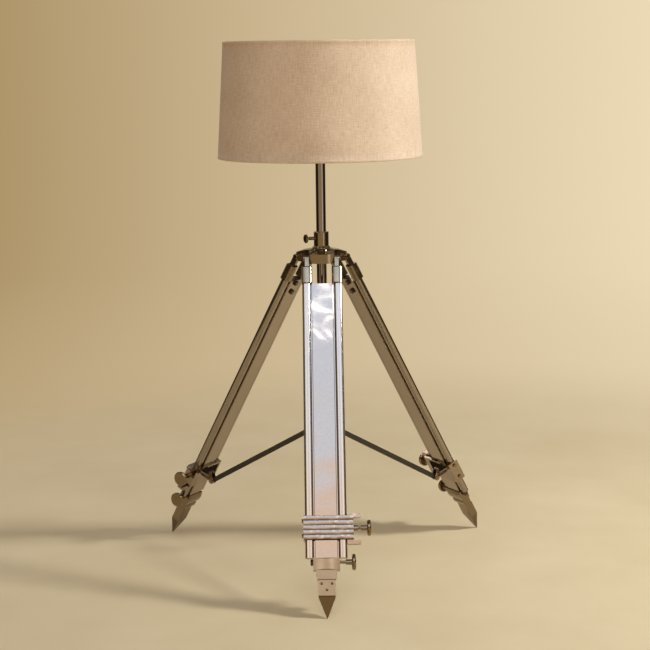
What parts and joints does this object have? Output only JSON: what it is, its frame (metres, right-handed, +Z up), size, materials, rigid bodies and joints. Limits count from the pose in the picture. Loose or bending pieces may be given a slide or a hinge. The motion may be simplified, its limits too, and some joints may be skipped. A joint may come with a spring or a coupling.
{
  "type": "tripod floor lamp",
  "caption": "Drum-shaded floor lamp on a telescoping column, carried by a folding tripod of sliding legs with ribbed clamps, disc thumbscrews, spiked shoes and a spreader.",
  "frame": {"origin": "on the floor plane, straight below the column's axis, midway between the three spikes", "axes": "+Z up along the column, -Y toward the spike of the front leg, +X to the right of a person facing the front leg"},
  "size_m": [0.8292, 0.7657, 1.31],
  "materials": {
    "rail_polish": "polished and plated",
    "slide_polish": "polished and plated",
    "cast_polish": "polished casting",
    "screw_chrome": "polished",
    "spike_steel": "ground and plated",
    "strut_dark": "satin dark grey",
    "tube_dark": "polished dark nickel",
    "wire_nickel": "plated",
    "socket_brass": "spun",
    "black_plastic": "matte",
    "shade_linen": "slubbed linen on a lining"
  },
  "bodies": {
    "crown": {"crown_casting": "cast_polish", "column_collar": "cast_polish", "hinge_bolts": "screw_chrome"},
    "column": {"column_tube": "tube_dark", "cord_bushing": "black_plastic", "tube_cap": "tube_dark", "harp_saddle": "wire_nickel", "harp": "wire_nickel", "socket_cap": "socket_brass", "socket_shell": "socket_brass", "socket_insulator": "black_plastic", "screw_shell": "socket_brass", "finial": "screw_chrome"},
    "column_thumbscrew": {"column_thumbscrew": "screw_chrome"},
    "shade": {"lamp_shade": "shade_linen", "shade_spider": "wire_nickel", "shade_bottom_ring": "wire_nickel"},
    "switch_key": {"switch_key": "black_plastic"},
    "spreader_hub": {"spreader_hub": "strut_dark"},
    "leg_1": {"leg_1_left_rail": "rail_polish", "leg_1_right_rail": "rail_polish", "leg_1_left_cap": "cast_polish", "leg_1_right_cap": "cast_polish", "leg_1_clamp": "cast_polish", "leg_1_fasteners": "screw_chrome"},
    "leg_1_slide": {"leg_1_slide": "slide_polish", "leg_1_shoe": "cast_polish", "leg_1_spike": "spike_steel", "leg_1_slide_fasteners": "screw_chrome"},
    "leg_1_clamp_screw": {"leg_1_clamp_screw": "screw_chrome"},
    "leg_1_shoe_screw": {"leg_1_shoe_screw": "screw_chrome"},
    "leg_1_strut": {"leg_1_strut": "strut_dark"},
    "leg_2": {"leg_2_left_rail": "rail_polish", "leg_2_right_rail": "rail_polish", "leg_2_left_cap": "cast_polish", "leg_2_right_cap": "cast_polish", "leg_2_clamp": "cast_polish", "leg_2_fasteners": "screw_chrome"},
    "leg_2_slide": {"leg_2_slide": "slide_polish", "leg_2_shoe": "cast_polish", "leg_2_spike": "spike_steel", "leg_2_slide_fasteners": "screw_chrome"},
    "leg_2_clamp_screw": {"leg_2_clamp_screw": "screw_chrome"},
    "leg_2_shoe_screw": {"leg_2_shoe_screw": "screw_chrome"},
    "leg_2_strut": {"leg_2_strut": "strut_dark"},
    "leg_3": {"leg_3_left_rail": "rail_polish", "leg_3_right_rail": "rail_polish", "leg_3_left_cap": "cast_polish", "leg_3_right_cap": "cast_polish", "leg_3_clamp": "cast_polish", "leg_3_fasteners": "screw_chrome"},
    "leg_3_slide": {"leg_3_slide": "slide_polish", "leg_3_shoe": "cast_polish", "leg_3_spike": "spike_steel", "leg_3_slide_fasteners": "screw_chrome"},
    "leg_3_clamp_screw": {"leg_3_clamp_screw": "screw_chrome"},
    "leg_3_shoe_screw": {"leg_3_shoe_screw": "screw_chrome"},
    "leg_3_strut": {"leg_3_strut": "strut_dark"}
  },
  "joints": [
    {"name": "leg_1_fold", "type": "hinge", "parent": "crown", "child": "leg_1", "pos_m": [0, -0.05, 0.78], "axis": [1, 0, 0], "range_deg": [0, 24]},
    {"name": "leg_1_extend", "type": "slide", "parent": "leg_1", "child": "leg_1_slide", "axis": [0, -0.4811, -0.8767], "range_m": [0, 0.54]},
    {"name": "leg_1_clamp_turn", "type": "hinge", "parent": "leg_1", "child": "leg_1_clamp_screw", "pos_m": [0.06, -0.3765, 0.18498], "axis": [1, 0, 0], "range_deg": [0, 360]},
    {"name": "leg_1_shoe_turn", "type": "hinge", "parent": "leg_1_slide", "child": "leg_1_shoe_screw", "pos_m": [0.03, -0.41498, 0.11485], "axis": [1, 0, 0], "range_deg": [0, 360]},
    {"name": "leg_1_strut_swing", "type": "hinge", "parent": "leg_1", "child": "leg_1_strut", "pos_m": [0, -0.3432, 0.16044], "axis": [1, 0, 0], "range_deg": [0, 36]},
    {"name": "leg_2_fold", "type": "hinge", "parent": "crown", "child": "leg_2", "pos_m": [0.0433, 0.025, 0.78], "axis": [-0.5, 0.866, 0], "range_deg": [0, 24]},
    {"name": "leg_2_extend", "type": "slide", "parent": "leg_2", "child": "leg_2_slide", "axis": [0.4166, 0.2405, -0.8767], "range_m": [0, 0.54]},
    {"name": "leg_2_clamp_turn", "type": "hinge", "parent": "leg_2", "child": "leg_2_clamp_screw", "pos_m": [0.29606, 0.24021, 0.18498], "axis": [-0.5, 0.866, 0], "range_deg": [0, 360]},
    {"name": "leg_2_shoe_turn", "type": "hinge", "parent": "leg_2_slide", "child": "leg_2_shoe_screw", "pos_m": [0.34438, 0.23347, 0.11485], "axis": [-0.5, 0.866, 0], "range_deg": [0, 360]},
    {"name": "leg_2_strut_swing", "type": "hinge", "parent": "leg_2", "child": "leg_2_strut", "pos_m": [0.29722, 0.1716, 0.16044], "axis": [-0.5, 0.866, 0], "range_deg": [0, 36]},
    {"name": "leg_3_fold", "type": "hinge", "parent": "crown", "child": "leg_3", "pos_m": [-0.0433, 0.025, 0.78], "axis": [-0.5, -0.866, 0], "range_deg": [0, 24]},
    {"name": "leg_3_extend", "type": "slide", "parent": "leg_3", "child": "leg_3_slide", "axis": [-0.4166, 0.2405, -0.8767], "range_m": [0, 0.54]},
    {"name": "leg_3_clamp_turn", "type": "hinge", "parent": "leg_3", "child": "leg_3_clamp_screw", "pos_m": [-0.35606, 0.13629, 0.18498], "axis": [-0.5, -0.866, 0], "range_deg": [0, 360]},
    {"name": "leg_3_shoe_turn", "type": "hinge", "parent": "leg_3_slide", "child": "leg_3_shoe_screw", "pos_m": [-0.37439, 0.18151, 0.11485], "axis": [-0.5, -0.866, 0], "range_deg": [0, 360]},
    {"name": "leg_3_strut_swing", "type": "hinge", "parent": "leg_3", "child": "leg_3_strut", "pos_m": [-0.29722, 0.1716, 0.16044], "axis": [-0.5, -0.866, 0], "range_deg": [0, 36]},
    {"name": "hub_lift", "type": "slide", "parent": "crown", "child": "spreader_hub", "axis": [0, 0, 1], "range_m": [0, 0.115]},
    {"name": "column_height", "type": "slide", "parent": "crown", "child": "column", "axis": [0, 0, 1], "range_m": [-0.14, 0.12]},
    {"name": "column_screw_turn", "type": "hinge", "parent": "crown", "child": "column_thumbscrew", "pos_m": [-0.01813, -0.00845, 0.825], "axis": [-0.9063, -0.4226, 0], "range_deg": [0, 360]},
    {"name": "shade_turn", "type": "hinge", "parent": "column", "child": "shade", "pos_m": [0, 0, 1.272], "axis": [0, 0, 1], "continuous": true},
    {"name": "switch_turn", "type": "hinge", "parent": "column", "child": "switch_key", "pos_m": [0, -0.0215, 1.096], "axis": [0, -1, 0], "continuous": true}
  ],
  "couplings": [
    {"joint": "leg_2_fold", "follows": "leg_1_fold", "ratio": 1},
    {"joint": "leg_3_fold", "follows": "leg_1_fold", "ratio": 1},
    {"joint": "leg_1_strut_swing", "follows": "leg_1_fold", "ratio": 1.4164},
    {"joint": "leg_2_strut_swing", "follows": "leg_1_fold", "ratio": 1.4164},
    {"joint": "leg_3_strut_swing", "follows": "leg_1_fold", "ratio": 1.4164},
    {"joint": "hub_lift", "follows": "leg_1_fold", "m_per_rad": 0.25209}
  ]
}
